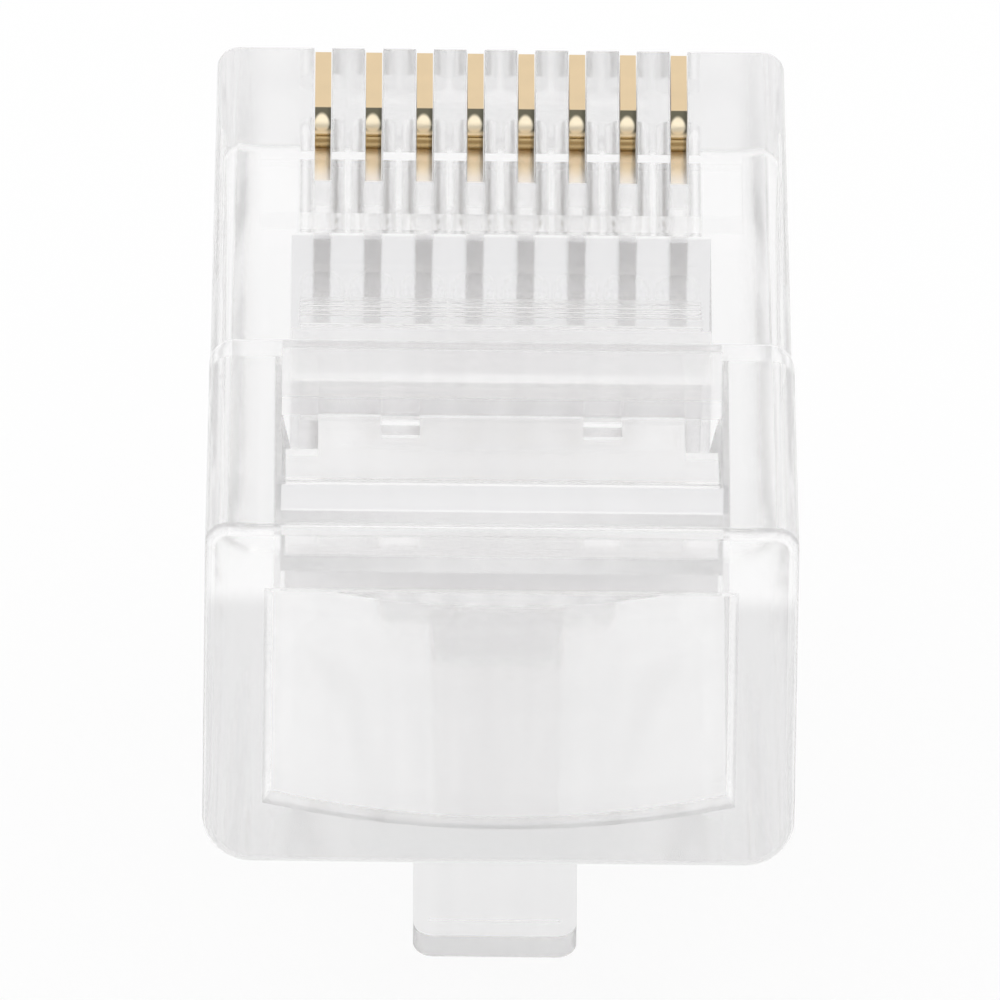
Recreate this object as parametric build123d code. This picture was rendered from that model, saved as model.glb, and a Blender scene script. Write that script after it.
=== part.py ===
from build123d import *
import os

# Clear modular plug for eight wires, contact side up, as it comes before a cable is crimped in.
# X runs across the plug, +Y towards the nose and +Z up to the contact side.
# The origin is the middle of the nose's lower edge, where the nose face meets the latch side:
# the two faces that a jack is measured from. All sizes are millimetres.

# Body
front_length = 13.90
raised_length = 7.56
nose_width = 11.40
side_draft = 0.14
front_height = 6.40
shoulder_rise = 1.30
bottom_edge_radius = 1.00
top_edge_radius = 0.45
shoulder_edge_radius = 0.25
rear_edge_radius = 0.20
nose_edge_radius = 0.15

# Contacts and the slots that they stand in
contact_count = 8
contact_pitch = 1.02
blade_thickness = 0.32
blade_side_clearance = 0.02
blade_setback = 0.04
blade_sunk = 0.02
crown_length = 2.44
crown_radius = 0.20
crown_step = 0.77
crown_bulge = 0.28
crown_heel = 0.12
shelf_length = 1.67
blade_body_height = 2.03
tine_height = 0.95
tine_count = 3
tine_width = 0.62
tine_tip = 0.12
tine_margin = 0.10
crimp_travel = 0.45
slot_mouth_length = 5.15
slot_end_clearance = 0.10

# Wire channels and the chamber behind them
channel_width = 0.92
channel_height = 1.10
channel_roof = 3.10
channel_corner_radius = 0.38
channel_blind_end = 0.90
channel_mouth_lead = 0.46
chamber_ceiling_gap = 0.15
chamber_tail = 0.35

# Jacket cavity, open at the rear face
mouth_side_wall = 1.355
mouth_roof = 1.56
mouth_floor_side = 1.60
mouth_floor_middle = 1.04
mouth_lead_in = 0.18
funnel_length = 1.40
throat_dish = 0.08

# Shallow recess across the top, behind the contact slots
recess_side_margin = 0.88
recess_start = 4.30
recess_end = 6.45
recess_ramp_end = 7.42
recess_depth = 0.18

# Wire clamp: a wedge in the window in front of the shoulder
wire_window_side_gap = 0.10
wire_window_length = 3.79
wire_window_to_shoulder = 2.55
wire_clamp_front_drop = 1.40
wire_clamp_side_gap = 0.08
wire_clamp_tail = 0.85
wire_clamp_rib_start = 0.55
wire_clamp_rib_pitch = 0.55
wire_clamp_rib_count = 4
wire_clamp_rib_groove = 0.10

# Jacket clamp: the longer wedge in the window of the raised part
jacket_window_side_ledge = 0.135
jacket_window_to_shoulder = 0.46
jacket_window_to_rear = 1.70
jacket_clamp_front_drop = 1.45
jacket_clamp_hang = 0.34
jacket_clamp_side_gap = 0.08
jacket_clamp_tail = 0.95
jacket_clamp_ear_width = 0.64
jacket_clamp_neck_length = 2.75
jacket_notch_width = 0.76
jacket_notch_length = 1.50
jacket_notch_depth = 0.12
jacket_notch_offset = 2.00

# Living hinges of both clamps
clamp_knuckle_radius = 0.25
clamp_knuckle_sunk = 0.08
hinge_gap = 0.03
clamp_nose_gap = 0.14

# Latch
latch_width = 6.10
tab_width = 3.25
latch_axis_from_nose = 2.30
latch_axis_drop = 0.45
latch_knuckle_radius = 0.42
latch_angle = 15.6
latch_reach = 15.20
latch_thickness = 0.60
catch_start = 1.30
catch_end = 6.20
catch_depth = 0.70
catch_corner_radius = 0.15
tab_root_end = 8.20
tab_root_radius = 0.30
tab_corner_radius = 0.40
tab_field_width = 2.60
tab_field_length = 7.70
tab_field_depth = 0.10
tab_rim = 0.45
pad_start = 0.35
pad_depth = 0.85
pad_root = 0.30

# Worked out from the sizes above
length = front_length + raised_length
width = nose_width + 2 * side_draft
rear_height = front_height + shoulder_rise
blade_top = front_height - blade_sunk
blade_rear = blade_setback + crown_length + shelf_length
channel_ceiling = front_height - channel_roof
channel_floor = channel_ceiling - channel_height
chamber_ceiling = channel_ceiling + chamber_ceiling_gap
chamber_width = contact_pitch * contact_count
slot_width = blade_thickness + 2 * blade_side_clearance
recess_width = nose_width - 2 * recess_side_margin
wire_window_end = front_length - wire_window_to_shoulder
wire_window_start = wire_window_end - wire_window_length
wire_window_width = chamber_width + 2 * wire_window_side_gap
channel_mouth = wire_window_start - channel_mouth_lead
chamber_rear = wire_window_end + chamber_tail
funnel_rear = chamber_rear + funnel_length
mouth_width = width - 2 * mouth_side_wall
mouth_ceiling = rear_height - mouth_roof
jacket_window_start = front_length + jacket_window_to_shoulder
jacket_window_end = length - jacket_window_to_rear
jacket_window_width = mouth_width - 2 * jacket_window_side_ledge
jacket_clamp_underside = mouth_ceiling - jacket_clamp_hang
beyond = 1.0
near = 0.01


def side_face(points):
    """Side view outline, each point given as distance behind the nose and height."""
    return make_face(Plane.YZ * Polyline([(-back, up) for back, up in points], close=True))


def across(points, wide):
    """A side view outline carried across the plug's middle to a width."""
    return extrude(side_face(points), amount=wide / 2, both=True)


def block(wide, back_from, back_to, low, high):
    """A plain cut or bar between two distances behind the nose and two heights."""
    return across([(back_from, low), (back_to, low), (back_to, high), (back_from, high)], wide)


def bar_across(back, up, radius, wide):
    """A round bar that lies across the plug."""
    return Plane.YZ * Location((-back, up, 0)) * Cylinder(radius, wide)


def contact_places():
    """Distance of each contact from the plug's middle, from left to right."""
    middle = (contact_count - 1) / 2
    return [(index - middle) * contact_pitch for index in range(contact_count)]


def side_edges(body, up):
    """The edges that run along the body's two sides at a height."""
    return [
        edge
        for edge in body.edges()
        if abs(edge.center().X) > nose_width / 2 - near
        and edge.bounding_box().size.Y > bottom_edge_radius
        and abs(edge.center().Z - up) < near
    ]


def tapered_body():
    """The outer block: raised at the rear, drawn in towards the nose, with its edges rounded."""
    side = [
        (0, 0),
        (length, 0),
        (length, rear_height),
        (front_length, rear_height),
        (front_length, front_height),
        (0, front_height),
    ]
    plan = Polyline(
        [(-nose_width / 2, 0), (nose_width / 2, 0), (width / 2, -length), (-width / 2, -length)],
        close=True,
    )
    body = across(side, width) & extrude(make_face(plan), amount=rear_height)
    body = fillet(side_edges(body, 0), bottom_edge_radius)
    shoulder_edges = [
        edge
        for edge in body.edges()
        if abs(edge.center().Y + front_length) < near and edge.bounding_box().min.Z > rear_height - near
    ]
    body = fillet(shoulder_edges, shoulder_edge_radius)
    body = fillet(side_edges(body, front_height) + side_edges(body, rear_height), top_edge_radius)
    rear_edges = [edge for edge in body.edges() if edge.bounding_box().max.Y < -length + near]
    body = fillet(rear_edges, rear_edge_radius)
    nose_edges = [edge for edge in body.edges() if edge.bounding_box().min.Y > -near]
    return fillet(nose_edges, nose_edge_radius)


def mouth_section(wide, ceiling, floor_side, floor_middle, grown=0):
    """Cross-section of the cavity: flat ceiling and sides over a dished floor."""
    half_width = wide / 2 + grown
    ceiling += grown
    floor_side -= grown
    floor_middle -= grown
    left_low = (-half_width, floor_side)
    right_low = (half_width, floor_side)
    outline = [
        Polyline([left_low, (-half_width, ceiling), (half_width, ceiling), right_low]),
        ThreePointArc(right_low, (0, floor_middle), left_low),
    ]
    return make_face(Wire(Curve(outline).edges()))


def at_distance(back):
    """Upright plane across the plug, facing the nose, at a distance behind the nose."""
    return Plane(origin=(0, -back, 0), x_dir=(-1, 0, 0), z_dir=(0, 1, 0))


def jacket_cavity():
    """The way in for the cable: a straight mouth, then a funnel down to the wire chamber."""
    sizes = (mouth_width, mouth_ceiling, mouth_floor_side, mouth_floor_middle)
    mouth = mouth_section(*sizes)
    flare = mouth_section(*sizes, grown=mouth_lead_in)
    straight = extrude(at_distance(length + beyond) * mouth, amount=length - funnel_rear + beyond)
    lead_in = loft([at_distance(length) * flare, at_distance(length - mouth_lead_in) * mouth])
    throat = mouth_section(chamber_width, chamber_ceiling, channel_floor + throat_dish, channel_floor)
    funnel = loft([at_distance(funnel_rear) * mouth, at_distance(chamber_rear) * throat])
    return straight + lead_in + funnel


def wire_channels():
    """Eight blind channels under the contacts and the open chamber that feeds them."""
    chamber = block(chamber_width, channel_mouth, chamber_rear, channel_floor, chamber_ceiling)
    section = RectangleRounded(channel_width, channel_height, channel_corner_radius)
    middle = channel_floor + channel_height / 2
    run = channel_mouth - channel_blind_end
    for place in contact_places():
        start = at_distance(channel_mouth) * Location((-place, middle, 0))
        chamber += extrude(start * section, amount=run)
    return chamber


def contact_slot(place):
    """One slot, open at the top and the nose, whose rear wall leans back towards the top."""
    foot = blade_rear + slot_end_clearance
    shelf = blade_top - crown_step
    side = [
        (-beyond, channel_ceiling),
        (-beyond, front_height + beyond),
        (slot_mouth_length, front_height + beyond),
        (slot_mouth_length, front_height - recess_depth),
        (foot, shelf - crimp_travel),
        (foot, channel_floor + channel_height / 2),
        (channel_blind_end + channel_corner_radius, channel_floor + channel_height / 2),
        (channel_blind_end + channel_corner_radius, channel_ceiling),
    ]
    return Location((place, 0, 0)) * across(side, slot_width)


def top_recess():
    """The shallow step that the slots end in, and the ramp behind it."""
    top = front_height + beyond
    floor = front_height - recess_depth
    step = [
        (recess_start, floor),
        (recess_end, floor),
        (recess_ramp_end, front_height),
        (recess_ramp_end, top),
        (recess_start, top),
    ]
    return across(step, recess_width)


def latch_pad():
    """Boss under the nose that the latch springs from, hollowed round the latch's knuckle."""
    pad_end = latch_axis_from_nose
    side = [
        (pad_start, pad_root),
        (pad_start, 0),
        (pad_start + pad_depth, -pad_depth),
        (pad_end, -pad_depth),
        (pad_end, pad_root),
    ]
    seat_radius = latch_knuckle_radius + hinge_gap
    seat = bar_across(latch_axis_from_nose, -latch_axis_drop, seat_radius, latch_width + beyond)
    return across(side, latch_width) - seat


def make_housing():
    """The whole moulding: body, windows, cavity, channels and slots."""
    body = tapered_body()
    body -= jacket_cavity()
    body -= wire_channels()
    body -= top_recess()
    top = rear_height + beyond
    body -= block(
        wire_window_width, wire_window_start, wire_window_end, channel_ceiling, front_height + beyond
    )
    body -= block(
        jacket_window_width, jacket_window_start, jacket_window_end, jacket_clamp_underside, top
    )
    for place in contact_places():
        body -= contact_slot(place)
    return body + latch_pad()


def make_contact(place):
    """A stamped blade: rounded crown at the nose, a stepped-down shelf and piercing tines."""
    front = blade_setback
    crown_end = front + crown_length
    shelf = blade_top - crown_step
    foot = blade_top - blade_body_height
    bulge_low = shelf + crown_heel
    outline = [
        Line((-front, foot), (-front, blade_top - crown_radius)),
        RadiusArc(
            (-front, blade_top - crown_radius), (-front - crown_radius, blade_top), crown_radius
        ),
        Line((-front - crown_radius, blade_top), (-crown_end, blade_top)),
        ThreePointArc(
            (-crown_end, blade_top),
            (-crown_end - crown_bulge, (blade_top + bulge_low) / 2),
            (-crown_end, bulge_low),
        ),
        Polyline([(-crown_end, bulge_low), (-crown_end, shelf), (-blade_rear, shelf)]),
        Line((-blade_rear, shelf), (-blade_rear, foot)),
        Line((-blade_rear, foot), (-front, foot)),
    ]
    blade = make_face(Plane.YZ * Wire(Curve(outline).edges()))
    blank = extrude(blade, amount=blade_thickness / 2, both=True)
    tine_first = channel_blind_end + channel_corner_radius + tine_width / 2 + tine_margin
    tine_last = blade_rear - tine_width / 2
    tine_pitch = (tine_last - tine_first) / (tine_count - 1)
    for index in range(tine_count):
        middle = tine_first + index * tine_pitch
        tine = [
            (middle - tine_width / 2, foot),
            (middle - tine_tip / 2, foot - tine_height),
            (middle + tine_tip / 2, foot - tine_height),
            (middle + tine_width / 2, foot),
        ]
        blank += across(tine, blade_thickness)
    return Location((place, 0, 0)) * blank


def clamp_axis(window_end, window_top):
    """Where a clamp's living hinge lies, as distance behind the nose and height."""
    reach = clamp_knuckle_radius + hinge_gap
    return window_end - reach, window_top - clamp_knuckle_sunk - clamp_knuckle_radius


def make_wire_clamp():
    """Wedge that the crimp tool turns down on to the eight wires, hinged at its rear edge."""
    axis_back, axis_up = clamp_axis(wire_window_end, front_height)
    wide = chamber_width - 2 * wire_clamp_side_gap
    front = wire_window_start + clamp_nose_gap
    front_top = front_height - wire_clamp_front_drop
    underside = chamber_ceiling
    top_rear = axis_up + clamp_knuckle_radius
    side = [
        (front, underside),
        (front, front_top),
        (axis_back, top_rear),
        (axis_back + clamp_knuckle_radius, axis_up),
        (axis_back - wire_clamp_tail, underside),
    ]
    clamp = across(side, wide) + bar_across(axis_back, axis_up, clamp_knuckle_radius, wide)
    slope = (top_rear - front_top) / (axis_back - front)
    for index in range(wire_clamp_rib_count):
        back = front + wire_clamp_rib_start + index * wire_clamp_rib_pitch
        up = front_top + slope * (back - front)
        clamp -= bar_across(back, up, wire_clamp_rib_groove, wide + beyond)
    return clamp


def make_jacket_clamp():
    """Longer wedge that is turned down on to the cable's jacket, waisted at its front."""
    axis_back, axis_up = clamp_axis(jacket_window_end, rear_height)
    wide = jacket_window_width - 2 * jacket_clamp_side_gap
    front = jacket_window_start + clamp_nose_gap
    front_top = rear_height - jacket_clamp_front_drop
    neck_end = jacket_window_start + jacket_clamp_neck_length
    side = [
        (front, jacket_clamp_underside),
        (front, front_top),
        (axis_back, axis_up + clamp_knuckle_radius),
        (axis_back + clamp_knuckle_radius, axis_up),
        (axis_back - jacket_clamp_tail, jacket_clamp_underside),
    ]
    clamp = across(side, wide) + bar_across(axis_back, axis_up, clamp_knuckle_radius, wide)
    ear_low = jacket_clamp_underside - beyond
    notch_floor = front_top - jacket_notch_depth
    notch_end = front + jacket_notch_length
    for hand in (-1, 1):
        ear = block(jacket_clamp_ear_width, front - beyond, neck_end, ear_low, rear_height)
        clamp -= Location((hand * (wide - jacket_clamp_ear_width) / 2, 0, 0)) * ear
        notch = block(jacket_notch_width, front - beyond, notch_end, notch_floor, rear_height)
        clamp -= Location((hand * jacket_notch_offset, 0, 0)) * notch
    return clamp


def upright_edges(lever, back, aside):
    """The two upright corner edges at a distance along the unturned lever and from its middle."""
    return [
        edge
        for edge in lever.edges()
        if abs(edge.center().Y + back) < near
        and abs(abs(edge.center().X) - aside) < near
        and edge.bounding_box().size.Z > near
    ]


def make_latch():
    """Sprung lever under the plug: wide at the catch, narrow at the thumb tab."""
    half = latch_thickness / 2
    side = [
        (0, -half),
        (catch_start, -half - catch_depth * catch_start / catch_end),
        (catch_end, -half - catch_depth),
        (tab_root_end, -half),
        (latch_reach, -half),
        (latch_reach, half),
        (0, half),
    ]
    lever = across(side, latch_width) + bar_across(0, 0, latch_knuckle_radius, latch_width)
    waste_width = (latch_width - tab_width) / 2
    for hand in (-1, 1):
        waste = block(waste_width, catch_end, latch_reach + beyond, -beyond - catch_depth, beyond)
        lever -= Location((hand * (latch_width - waste_width) / 2, 0, 0)) * waste
    lever = fillet(upright_edges(lever, latch_reach, tab_width / 2), tab_corner_radius)
    lever = fillet(upright_edges(lever, catch_end, tab_width / 2), tab_root_radius)
    lever = fillet(upright_edges(lever, catch_end, latch_width / 2), catch_corner_radius)
    lever -= block(
        tab_field_width,
        latch_reach - tab_rim - tab_field_length,
        latch_reach - tab_rim,
        half - tab_field_depth,
        half + beyond,
    )
    return Location((0, -latch_axis_from_nose, -latch_axis_drop)) * Rotation(latch_angle, 0, 0) * lever


os.makedirs("parts", exist_ok=True)
export_step(make_housing(), "parts/housing.step")
export_step(make_latch(), "parts/latch.step")
export_step(make_wire_clamp(), "parts/wire_clamp.step")
export_step(make_jacket_clamp(), "parts/jacket_clamp.step")
for number, place in enumerate(contact_places(), start=1):
    export_step(make_contact(place), f"parts/contact_{number}.step")
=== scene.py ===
import math

import bmesh
import bpy
from mathutils import Matrix, Vector


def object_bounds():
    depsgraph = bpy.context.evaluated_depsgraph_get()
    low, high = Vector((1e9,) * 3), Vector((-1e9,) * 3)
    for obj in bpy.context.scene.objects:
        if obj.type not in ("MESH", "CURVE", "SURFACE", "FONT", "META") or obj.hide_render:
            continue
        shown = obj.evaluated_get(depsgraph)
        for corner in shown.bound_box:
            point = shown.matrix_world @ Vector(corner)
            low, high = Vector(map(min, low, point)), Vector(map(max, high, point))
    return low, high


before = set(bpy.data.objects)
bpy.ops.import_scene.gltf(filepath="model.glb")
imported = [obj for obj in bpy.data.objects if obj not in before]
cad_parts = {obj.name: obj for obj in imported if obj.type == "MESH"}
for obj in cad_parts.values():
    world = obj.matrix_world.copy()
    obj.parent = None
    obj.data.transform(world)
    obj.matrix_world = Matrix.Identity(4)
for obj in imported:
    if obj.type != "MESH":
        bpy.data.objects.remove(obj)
cad_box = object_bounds()

# Housing
# The plug's body is one clear polycarbonate moulding, with slots, channels, windows and a mouth for
# the cable. It has a faint grey cast and fine draw lines, and painted shade on the mouth's end
# faces, the wire window's front wall and the roof's rear strip.
MM = 0.001
housing_tint = (0.995, 0.992, 0.992, 1.0)
housing_shade = (0.965, 0.962, 0.963, 1.0)
housing_ior = 1.585
housing_flow = 260.0
housing_gloss = (0.08, 0.13)
line_stretch = (12.0, 0.5, 1.0)
cloud_share = 0.5
tint_from = 0.45
tint_to = 1.05
ripple_finer = 5
ripple_stretch = (1.0, 0.25, 1.0)
ripple_strength = 0.06
ripple_height = 0.02 * MM
face_soft = 0.01 * MM
# Painted shade, darkening the tint on the mouth's end faces, the wire window's front wall and the
# roof's rear strip.
painted_end_shade = (0.70, 0.70, 0.70, 1.0)
rear_end = -21.40 * MM
past_rear = 1.0 * MM
mouth_bottom = -1.0 * MM
mouth_top = 6.10 * MM
mouth_soft = 0.30 * MM
painted_wall_shade = (0.76, 0.76, 0.77, 1.0)
window_wall = -7.56 * MM
window_wall_half = 0.02 * MM
window_bottom = 3.00 * MM
window_top = 6.34 * MM
window_soft = 0.02 * MM
painted_roof_shade = (0.74, 0.74, 0.75, 1.0)
roof_rear = -20.72 * MM
roof_front = -19.62 * MM
roof_half = 4.45 * MM
roof_top = 7.70 * MM
roof_skin = 0.03 * MM
roof_end_soft = 0.04 * MM
roof_side_soft = 0.03 * MM


def worked_out(nodes, links, operation, *terms):
    """The result of a Math node, each term a number or a socket."""
    node = nodes.new("ShaderNodeMath")
    node.operation = operation
    for slot, term in zip(node.inputs, terms):
        if isinstance(term, float):
            slot.default_value = term
        else:
            links.new(term, slot)
    return node.outputs[0]


def ranged(nodes, links, value, low, high, start=0.0, end=1.0, kind="LINEAR"):
    """A value's range from low to high, laid over the range from start to end."""
    spread = nodes.new("ShaderNodeMapRange")
    spread.interpolation_type = kind
    for name, limit in (("From Min", low), ("From Max", high), ("To Min", start), ("To Max", end)):
        spread.inputs[name].default_value = limit
    links.new(value, spread.inputs["Value"])
    return spread.outputs["Result"]


def step_at(nodes, links, value, place, soft):
    """A smooth step from 0 to 1 where a value passes a place."""
    return ranged(nodes, links, value, place - soft, place + soft, kind="SMOOTHSTEP")


def mixed(nodes, links, share, first, second, blend="MIX"):
    """Two colours, each a value or a socket, mixed by a share."""
    mix = nodes.new("ShaderNodeMix")
    mix.data_type = "RGBA"
    mix.blend_type = blend
    for name, colour in (("A", first), ("B", second)):
        if isinstance(colour, tuple):
            mix.inputs[name].default_value = colour
        else:
            links.new(colour, mix.inputs[name])
    links.new(share, mix.inputs["Factor"])
    return mix.outputs["Result"]


def between(nodes, links, value, low, high, soft):
    """1 where a value lies between two places, and 0 elsewhere."""
    past_low = step_at(nodes, links, value, low, soft)
    past_high = step_at(nodes, links, value, high, soft)
    return worked_out(nodes, links, "SUBTRACT", past_low, past_high)


def both_true(nodes, links, first, second):
    """The product of two shares."""
    return worked_out(nodes, links, "MULTIPLY", first, second)


def noise_on(nodes, links, place, scale, detail, stretch=None):
    """A noise pattern on the piece, with its scale along each axis changed by a stretch."""
    if stretch:
        mapping = nodes.new("ShaderNodeMapping")
        mapping.inputs["Scale"].default_value = stretch
        links.new(place, mapping.inputs["Vector"])
        place = mapping.outputs["Vector"]
    noise = nodes.new("ShaderNodeTexNoise")
    noise.inputs["Scale"].default_value = scale
    noise.inputs["Detail"].default_value = detail
    links.new(place, noise.inputs["Vector"])
    return noise.outputs["Fac"]


def raised(nodes, links, shader, pattern, strength, height):
    """Fine relief on a shader, from a pattern."""
    bump = nodes.new("ShaderNodeBump")
    bump.inputs["Strength"].default_value = strength
    bump.inputs["Distance"].default_value = height
    links.new(pattern, bump.inputs["Height"])
    links.new(bump.outputs["Normal"], shader.inputs["Normal"])


def clear_polycarbonate(name, flow_scale, gloss_low, gloss_high):
    """Clear moulded plastic: clouds and draw lines in its tint, uneven gloss and a fine ripple."""
    material = bpy.data.materials.new(name)
    material.use_nodes = True
    nodes, links = material.node_tree.nodes, material.node_tree.links
    shader = nodes["Principled BSDF"]
    shader.inputs["IOR"].default_value = housing_ior
    shader.inputs["Transmission Weight"].default_value = 1.0
    place = nodes.new("ShaderNodeTexCoord").outputs["Object"]
    cloud = noise_on(nodes, links, place, flow_scale, 0.0)
    lines = noise_on(nodes, links, place, flow_scale, 1.0, line_stretch)
    both = worked_out(nodes, links, "MULTIPLY_ADD", cloud, cloud_share, lines)
    spread = ranged(nodes, links, both, tint_from, tint_to)
    tint = mixed(nodes, links, spread, housing_shade, housing_tint)
    links.new(tint, shader.inputs["Base Color"])
    gloss = ranged(nodes, links, cloud, 0.0, 1.0, gloss_low, gloss_high)
    links.new(gloss, shader.inputs["Roughness"])
    ripple = noise_on(nodes, links, place, flow_scale * ripple_finer, 0.0, ripple_stretch)
    raised(nodes, links, shader, ripple, ripple_strength, ripple_height)
    return material


def finish_with(node, material):
    """Give a CAD node its finish."""
    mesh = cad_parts[node].data
    mesh.materials.clear()
    mesh.materials.append(material)


def paint_shade_on_ends(material):
    """Paint shade on the mouth's end faces, the wire window's front wall and the roof's rear strip.
    """
    nodes, links = material.node_tree.nodes, material.node_tree.links
    base = nodes["Principled BSDF"].inputs["Base Color"]
    tint = base.links[0].from_socket
    split = nodes.new("ShaderNodeSeparateXYZ")
    links.new(nodes.new("ShaderNodeTexCoord").outputs["Object"], split.inputs["Vector"])
    side, along, height = split.outputs["X"], split.outputs["Y"], split.outputs["Z"]
    # Painted shade: the tint is multiplied darker on these three places.
    end = between(nodes, links, along, rear_end - past_rear, rear_end, face_soft)
    low = between(nodes, links, height, mouth_bottom, mouth_top, mouth_soft)
    on_end = both_true(nodes, links, end, low)
    tint = mixed(nodes, links, on_end, tint, painted_end_shade, "MULTIPLY")
    wall_from, wall_to = window_wall - window_wall_half, window_wall + window_wall_half
    wall = between(nodes, links, along, wall_from, wall_to, face_soft)
    open_part = between(nodes, links, height, window_bottom, window_top, window_soft)
    on_wall = both_true(nodes, links, wall, open_part)
    tint = mixed(nodes, links, on_wall, tint, painted_wall_shade, "MULTIPLY")
    strip = between(nodes, links, along, roof_rear, roof_front, roof_end_soft)
    middle = between(nodes, links, side, -roof_half, roof_half, roof_side_soft)
    outside = between(nodes, links, height, roof_top - roof_skin, roof_top + roof_skin, face_soft)
    on_roof = both_true(nodes, links, both_true(nodes, links, strip, middle), outside)
    tint = mixed(nodes, links, on_roof, tint, painted_roof_shade, "MULTIPLY")
    links.new(tint, base)


housing_plastic = clear_polycarbonate("clear housing plastic", housing_flow, *housing_gloss)
paint_shade_on_ends(housing_plastic)
finish_with("housing", housing_plastic)

# Clamps
# Two wedges moulded with the body on thin hinges, which the crimp tool turns down on the wires
# and on the jacket. They are the same plastic, a little duller where the mould's inserts met.
clamp_flow = 340.0
clamp_gloss = (0.09, 0.14)
clamp_plastic = clear_polycarbonate("clear clamp plastic", clamp_flow, *clamp_gloss)
finish_with("wire_clamp", clamp_plastic)
finish_with("jacket_clamp", clamp_plastic)

# Latch
# The sprung lever under the plug, moulded with the body, with a thumb tab at its free end.
latch_flow = 300.0
latch_gloss = (0.07, 0.12)
finish_with("latch", clear_polycarbonate("clear latch plastic", latch_flow, *latch_gloss))

# Contacts
# Eight blades stamped from phosphor bronze strip and pressed into their slots. The crowns that the
# jack's wires touch are gold plated and the rest is nickel. Each heel carries painted reflections:
# a painted round highlight, with painted shade around it and a painted dark band at its foot.
blade_count = 8
blade_pitch = 1.02 * MM
crown_gold = (0.79, 0.615, 0.385, 1.0)
# Painted reflections on the heel: pale painted light and a painted sheen.
painted_heel_light = (1.0, 0.92, 0.74, 1.0)
painted_heel_sheen = (0.98, 0.82, 0.56, 1.0)
# Painted highlight: the glint's gold.
painted_glint_gold = (1.0, 0.88, 0.66, 1.0)
# Painted shade: a dark band at the heel's foot.
painted_foot_shade = (0.52, 0.42, 0.27, 1.0)
# Painted shade around the painted glint.
painted_heel_shade = (0.15, 0.14, 0.10, 1.0)
nickel = (1.0, 0.93, 0.86, 1.0)
tine_nickel = (0.97, 0.96, 0.95, 1.0)
heel_lowest = (0.04, painted_foot_shade)
heel_between = ((0.10, painted_heel_light), (0.34, painted_heel_light), (0.42, painted_heel_sheen), (0.54, painted_heel_sheen))
heel_highest = (0.62, painted_glint_gold)
crown_end = -2.47 * MM
crown_soft = 0.02 * MM
heel_end = -2.79 * MM
heel_soft = 0.03 * MM
shelf_up = 5.60 * MM
crown_up = 6.40 * MM
plating_up = 5.52 * MM
plating_soft = 0.04 * MM
slot_shade = (0.72, 0.73, 0.75, 1.0)
shaded_from = 0.60
shaded_soft = 0.04
glint_side = 0.478
glint_up = 6.15 * MM
glint_radius = 0.17 * MM
glint_soft = 0.03 * MM
glint_narrow = 1.12
# The painted shade outside the glint reaches down to this height.
heel_shade_up = 6.02 * MM
heel_shade_soft = 0.06 * MM
foot_up = 5.92 * MM
foot_soft = 0.05 * MM
foot_polish = 0.17
shelf_rough = 0.25
heel_rough = 0.32
wear_scale = 1400.0
wear_detail = 4.0
wear_low = 0.92
wear_high = 1.06
shear_scale = 2600.0
shear_detail = 2.0
shear_stretch = (6.0, 1.0, 1.0)
shear_strength = 0.15
shear_height = 0.01 * MM


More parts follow.
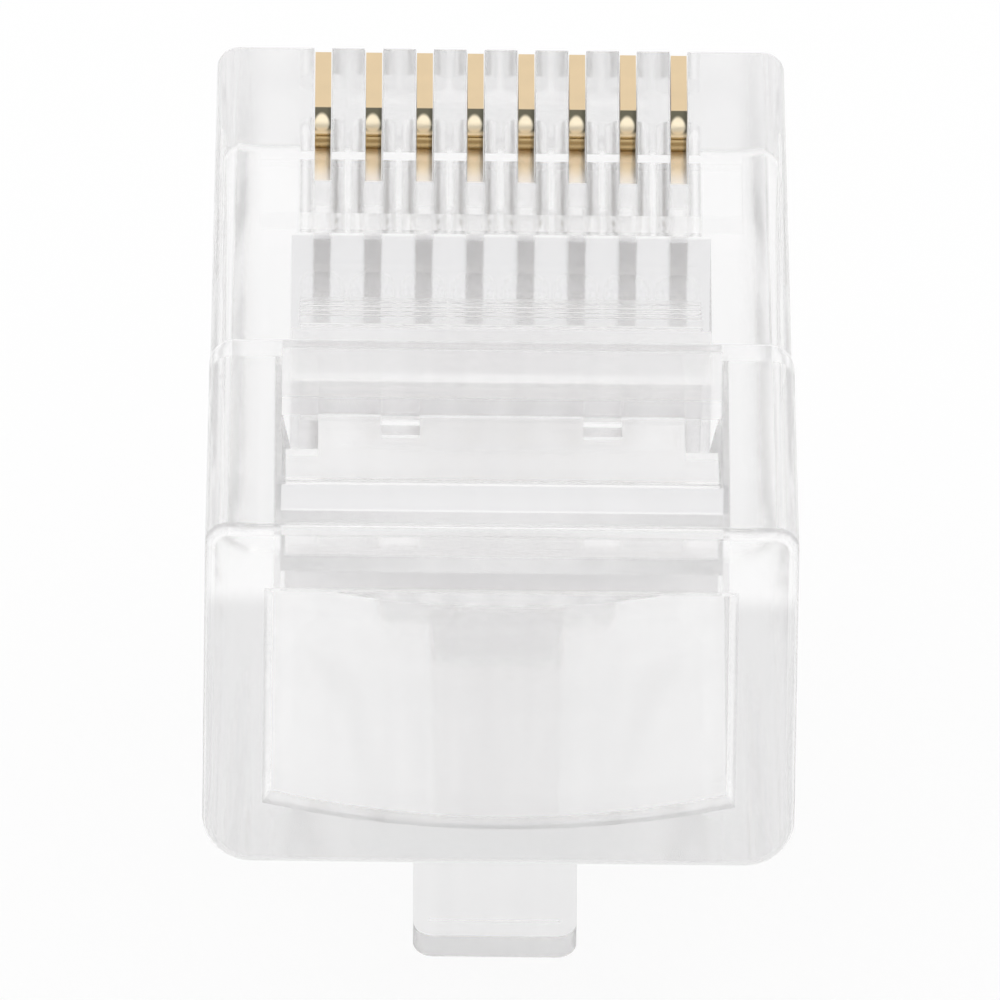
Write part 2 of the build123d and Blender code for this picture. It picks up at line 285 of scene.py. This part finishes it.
def plated_blade():
    """Gold crown, a heel of painted reflections with a painted glint and painted shade, and a
    nickel shelf and tines.
    """
    material = bpy.data.materials.new("gold and nickel plating")
    material.use_nodes = True
    nodes, links = material.node_tree.nodes, material.node_tree.links
    shader = nodes["Principled BSDF"]
    shader.inputs["Metallic"].default_value = 1.0
    place = nodes.new("ShaderNodeTexCoord").outputs["Object"]
    split = nodes.new("ShaderNodeSeparateXYZ")
    links.new(place, split.inputs["Vector"])
    side, along, height = split.outputs["X"], split.outputs["Y"], split.outputs["Z"]

    # The heel's colours, from the shelf up to the crown, are painted reflections: a dark foot, pale
    # light, a sheen and the glint's gold.
    heel = nodes.new("ShaderNodeValToRGB")
    stops = heel.color_ramp.elements
    stops[0].position, stops[0].color = heel_lowest
    stops[1].position, stops[1].color = heel_highest
    for position, colour in heel_between:
        stops.new(position).color = colour
    links.new(ranged(nodes, links, height, shelf_up, crown_up), heel.inputs["Fac"])

    # A painted round highlight on each blade's heel, and painted shade outside it higher up, the
    # same at every pitch.
    pitches = worked_out(nodes, links, "DIVIDE", side, blade_pitch)
    blade_side = worked_out(nodes, links, "FRACT", pitches)
    squeezed = blade_pitch * glint_narrow
    across = worked_out(nodes, links, "MULTIPLY_ADD", blade_side, squeezed, -glint_side * squeezed)
    above = worked_out(nodes, links, "SUBTRACT", height, glint_up)
    from_glint = nodes.new("ShaderNodeCombineXYZ")
    links.new(across, from_glint.inputs["X"])
    links.new(above, from_glint.inputs["Y"])
    far = nodes.new("ShaderNodeVectorMath")
    far.operation = "LENGTH"
    links.new(from_glint.outputs["Vector"], far.inputs[0])
    past_glint = step_at(nodes, links, far.outputs["Value"], glint_radius, glint_soft)
    upper = step_at(nodes, links, height, heel_shade_up, heel_shade_soft)
    dark = both_true(nodes, links, past_glint, upper)
    heel_colour = mixed(nodes, links, dark, heel.outputs["Color"], painted_heel_shade)

    # Shelf, heel, crown and tines, with the slot's shade on one side of each blade.
    on_heel = step_at(nodes, links, along, heel_end, heel_soft)
    on_crown = step_at(nodes, links, along, crown_end, crown_soft)
    plated = step_at(nodes, links, height, plating_up, plating_soft)
    shaded = step_at(nodes, links, blade_side, shaded_from, shaded_soft)
    low = mixed(nodes, links, on_heel, nickel, heel_colour)
    low = mixed(nodes, links, shaded, low, slot_shade, "MULTIPLY")
    top = mixed(nodes, links, on_crown, low, crown_gold)
    colour = mixed(nodes, links, plated, tine_nickel, top)
    wear = noise_on(nodes, links, place, wear_scale, wear_detail)
    uneven = ranged(nodes, links, wear, 0.0, 1.0, wear_low, wear_high)
    worn = nodes.new("ShaderNodeHueSaturation")
    links.new(uneven, worn.inputs["Value"])
    links.new(colour, worn.inputs["Color"])
    links.new(worn.outputs["Color"], shader.inputs["Base Color"])

    # Uneven gloss, smoother at the heel's foot, and fine shear lines.
    gloss = ranged(nodes, links, on_heel, 0.0, 1.0, shelf_rough, heel_rough)
    low_part = between(nodes, links, height, shelf_up, foot_up, foot_soft)
    foot = both_true(nodes, links, on_heel, low_part)
    gloss = worked_out(nodes, links, "MULTIPLY_ADD", foot, -foot_polish, gloss)
    gloss = worked_out(nodes, links, "MULTIPLY", gloss, uneven)
    links.new(gloss, shader.inputs["Roughness"])
    shear = noise_on(nodes, links, place, shear_scale, shear_detail, shear_stretch)
    raised(nodes, links, shader, shear, shear_strength, shear_height)
    return material


plating = plated_blade()
for number in range(1, blade_count + 1):
    finish_with(f"contact_{number}", plating)

# Floor
# A pale seamless sheet a little below the latch's tip, so that the plug's soft shadow falls on it.
floor_half = 2.0
floor_gap = 2.0 * MM
floor_colour = (0.93, 0.93, 0.93, 1.0)
card_rough = 0.9
card_specular = 0.1
white_seen = 0.90
white_through = 0.64


def pale_sheet():
    """Matt white card, lifted to white where it is seen, straight or in and through the plastic."""
    material = bpy.data.materials.new("white card")
    material.use_nodes = True
    nodes, links = material.node_tree.nodes, material.node_tree.links
    shader = nodes["Principled BSDF"]
    shader.inputs["Roughness"].default_value = card_rough
    shader.inputs["Specular IOR Level"].default_value = card_specular
    shader.inputs["Base Color"].default_value = floor_colour
    path = nodes.new("ShaderNodeLightPath").outputs
    onward = worked_out(nodes, links, "MAXIMUM", path["Is Glossy Ray"], path["Is Transmission Ray"])
    share = worked_out(nodes, links, "MULTIPLY", onward, white_through)
    share = worked_out(nodes, links, "MULTIPLY_ADD", path["Is Camera Ray"], white_seen, share)
    white = nodes.new("ShaderNodeEmission")
    white.inputs["Strength"].default_value = 1.0
    lift = nodes.new("ShaderNodeMixShader")
    links.new(share, lift.inputs["Fac"])
    links.new(shader.outputs["BSDF"], lift.inputs[1])
    links.new(white.outputs["Emission"], lift.inputs[2])
    links.new(lift.outputs["Shader"], nodes["Material Output"].inputs["Surface"])
    return material


lowest = cad_box[0][2] - floor_gap
sheet_mesh = bmesh.new()
bmesh.ops.create_grid(sheet_mesh, x_segments=2, y_segments=2, size=floor_half)
bmesh.ops.translate(sheet_mesh, verts=sheet_mesh.verts, vec=(0, 0, lowest))
floor_data = bpy.data.meshes.new("floor")
sheet_mesh.to_mesh(floor_data)
sheet_mesh.free()
floor = bpy.data.objects.new("floor", floor_data)
bpy.context.scene.collection.objects.link(floor)
floor.data.materials.append(pale_sheet())

# Light
# Even studio light from all round, and three broad soft lamps: one above on the left, a weaker one
# on the right and a low one that faces the cable mouth.
plain_white = (1.0, 1.0, 1.0, 1.0)
room_light = 1.0
white_level = 1.0
lamps = {
    "key lamp": ((-0.25, -0.10, 0.35), 0.25, 0.10),
    "fill lamp": ((0.30, -0.25, 0.25), 0.30, 0.05),
    "mouth lamp": ((0.0, -0.45, 0.12), 0.40, 0.10),
}


def studio_world():
    """White all round where it is seen, and a plain level of light on the plug."""
    world = bpy.data.worlds.new("studio")
    bpy.context.scene.world = world
    world.use_nodes = True
    nodes, links = world.node_tree.nodes, world.node_tree.links
    lit, white = nodes["Background"], nodes.new("ShaderNodeBackground")
    for background, strength in ((lit, room_light), (white, white_level)):
        background.inputs["Color"].default_value = plain_white
        background.inputs["Strength"].default_value = strength
    path = nodes.new("ShaderNodeLightPath").outputs
    seen = worked_out(nodes, links, "MAXIMUM", path["Is Camera Ray"], path["Is Glossy Ray"])
    seen = worked_out(nodes, links, "MAXIMUM", seen, path["Is Transmission Ray"])
    straight = worked_out(nodes, links, "SUBTRACT", 1.0, path["Diffuse Depth"])
    straight.node.use_clamp = True
    looked_at = worked_out(nodes, links, "MULTIPLY", seen, straight)
    pick = nodes.new("ShaderNodeMixShader")
    links.new(looked_at, pick.inputs["Fac"])
    links.new(lit.outputs["Background"], pick.inputs[1])
    links.new(white.outputs["Background"], pick.inputs[2])
    links.new(pick.outputs["Shader"], nodes["World Output"].inputs["Surface"])


def soft_lamp(name, place, aim, side, watts):
    """A square soft lamp at a place, facing a point."""
    data = bpy.data.lights.new(name, "AREA")
    data.shape = "SQUARE"
    data.size = side
    data.energy = watts
    lamp = bpy.data.objects.new(name, data)
    bpy.context.scene.collection.objects.link(lamp)
    lamp.location = place
    lamp.rotation_euler = (Vector(aim) - Vector(place)).to_track_quat("-Z", "Y").to_euler()


# Light passes many clear walls before it comes out again, so its paths are long.
clear_walls_deep = 32
noise_allowed = 0.08
cycles = bpy.context.scene.cycles
cycles.max_bounces = clear_walls_deep
cycles.transmission_bounces = clear_walls_deep
cycles.glossy_bounces = clear_walls_deep
cycles.adaptive_threshold = noise_allowed
studio_world()
plug_middle = (Vector(cad_box[0]) + Vector(cad_box[1])) / 2
for lamp_name, (lamp_place, lamp_side, lamp_watts) in lamps.items():
    soft_lamp(lamp_name, lamp_place, plug_middle, lamp_side, lamp_watts)

# Camera
# Behind the plug and above it, looking at the cable mouth and along the contact side.
camera_distance = 0.8
camera_height_angle = math.radians(30.27)
camera_side_angle = math.radians(-0.45)
camera_roll = math.radians(0.83)
pixels_per_metre = 50210.0
picture_side = 1000.0
sensor_side = 36.0
aim_point = Vector((0.0, -10.73 * MM, 3.5 * MM))
aim_right = 0.026 * MM
aim_up = -1.192 * MM

forward = Vector(
    (
        -math.sin(camera_side_angle) * math.cos(camera_height_angle),
        math.cos(camera_side_angle) * math.cos(camera_height_angle),
        -math.sin(camera_height_angle),
    )
)
right = Vector((math.cos(camera_side_angle), math.sin(camera_side_angle), 0.0))
up = right.cross(forward)
rolled_right = right * math.cos(camera_roll) + up * math.sin(camera_roll)
rolled_up = up * math.cos(camera_roll) - right * math.sin(camera_roll)
turn = Matrix((rolled_right, rolled_up, -forward)).transposed().to_4x4()
camera_data = bpy.data.cameras.new("camera")
camera_data.sensor_width = sensor_side
camera_data.lens = pixels_per_metre * camera_distance / picture_side * sensor_side
camera = bpy.data.objects.new("camera", camera_data)
bpy.context.scene.collection.objects.link(camera)
camera_place = aim_point - forward * camera_distance + right * aim_right + up * aim_up
camera.matrix_world = Matrix.Translation(camera_place) @ turn
bpy.context.scene.camera = camera
bpy.context.scene.view_settings.view_transform = "Standard"
